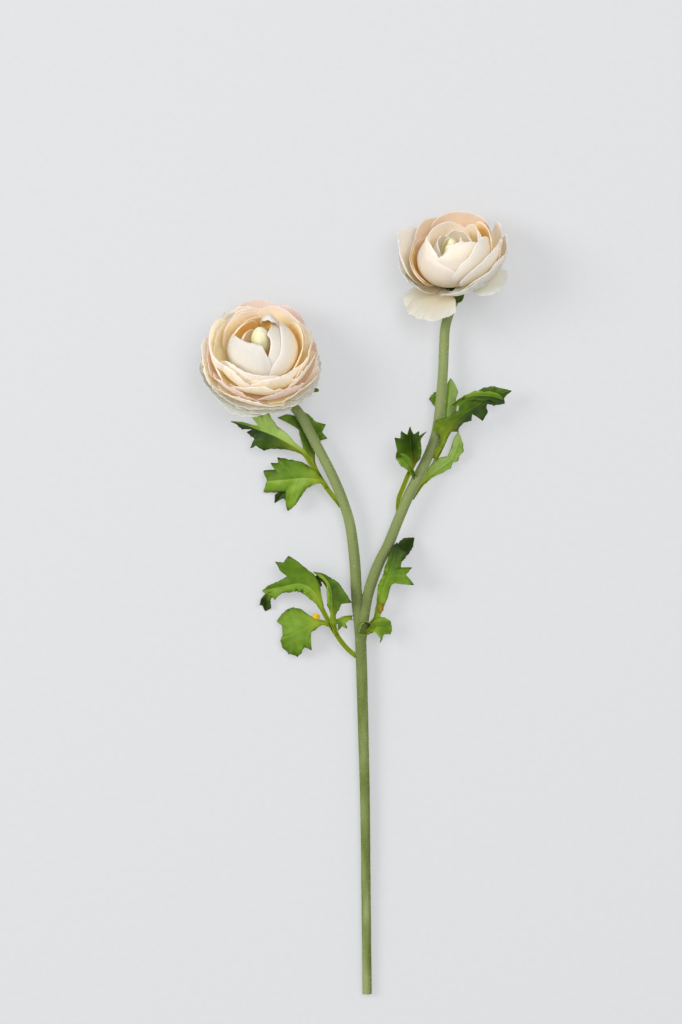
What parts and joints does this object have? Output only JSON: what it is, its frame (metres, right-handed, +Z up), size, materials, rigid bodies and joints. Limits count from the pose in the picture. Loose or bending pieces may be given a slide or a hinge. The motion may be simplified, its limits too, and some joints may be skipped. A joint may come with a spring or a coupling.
{
  "type": "ranunculus flower",
  "caption": "Cut ranunculus spray lying on its side: a forked green stem with layered cream blooms and lobed leaves, like a silk flower.",
  "frame": {"origin": "middle of the spray's footprint, on the surface that it lies on", "axes": "+X across the spray to the right as the picture shows it, +Y along the stem from its cut end towards the flowers, +Z up from the surface"},
  "size_m": [0.199, 0.5048, 0.0637],
  "materials": {
    "stem_green": "fine flocked down over a plastic-coated stem",
    "leaf_green": "printed cloth leaf with a soft sheen",
    "petal_cream": "thin matt cloth that lets some light through",
    "heart_green": "matt"
  },
  "bodies": {
    "root": {"fork_curled_leaf": "leaf_green", "fork_small_leaf": "leaf_green", "fork_upright_leaf": "leaf_green", "forked_stem": "stem_green", "left_bowl_petal_1": "petal_cream", "left_bowl_petal_2": "petal_cream", "left_bowl_petal_3": "petal_cream", "left_bowl_petal_4": "petal_cream", "left_bowl_petal_5": "petal_cream", "left_branch_leaf": "leaf_green", "left_calyx": "leaf_green", "left_cup_petal_1": "petal_cream", "left_cup_petal_2": "petal_cream", "left_cup_petal_3": "petal_cream", "left_cup_petal_4": "petal_cream", "left_flower_centre": "heart_green", "left_guard_petal_1": "petal_cream", "left_guard_petal_2": "petal_cream", "left_guard_petal_3": "petal_cream", "left_guard_petal_4": "petal_cream", "left_guard_petal_5": "petal_cream", "left_guard_petal_6": "petal_cream", "left_inner_petal_1": "petal_cream", "left_inner_petal_2": "petal_cream", "left_inner_petal_3": "petal_cream", "left_inner_petal_4": "petal_cream", "left_outer_petal_1": "petal_cream", "left_outer_petal_2": "petal_cream", "left_outer_petal_3": "petal_cream", "left_outer_petal_4": "petal_cream", "left_outer_petal_5": "petal_cream", "left_receptacle": "heart_green", "lower_left_leaf": "leaf_green", "right_back_petal": "petal_cream", "right_branch_back_leaf": "leaf_green", "right_branch_cupped_leaf": "leaf_green", "right_branch_hooked_leaf": "leaf_green", "right_branch_spreading_leaf": "leaf_green", "right_calyx": "leaf_green", "right_cup_petal_1": "petal_cream", "right_cup_petal_2": "petal_cream", "right_cup_petal_3": "petal_cream", "right_cup_petal_4": "petal_cream", "right_cup_petal_5": "petal_cream", "right_drooping_petal": "petal_cream", "right_flower_centre": "heart_green", "right_heart_petal_1": "petal_cream", "right_heart_petal_2": "petal_cream", "right_heart_petal_3": "petal_cream", "right_inner_petal_1": "petal_cream", "right_inner_petal_2": "petal_cream", "right_inner_petal_3": "petal_cream", "right_inner_petal_4": "petal_cream", "right_lower_right_petal": "petal_cream", "right_receptacle": "heart_green", "right_upper_right_petal": "petal_cream", "right_upright_petal": "petal_cream"}
  },
  "joints": []
}
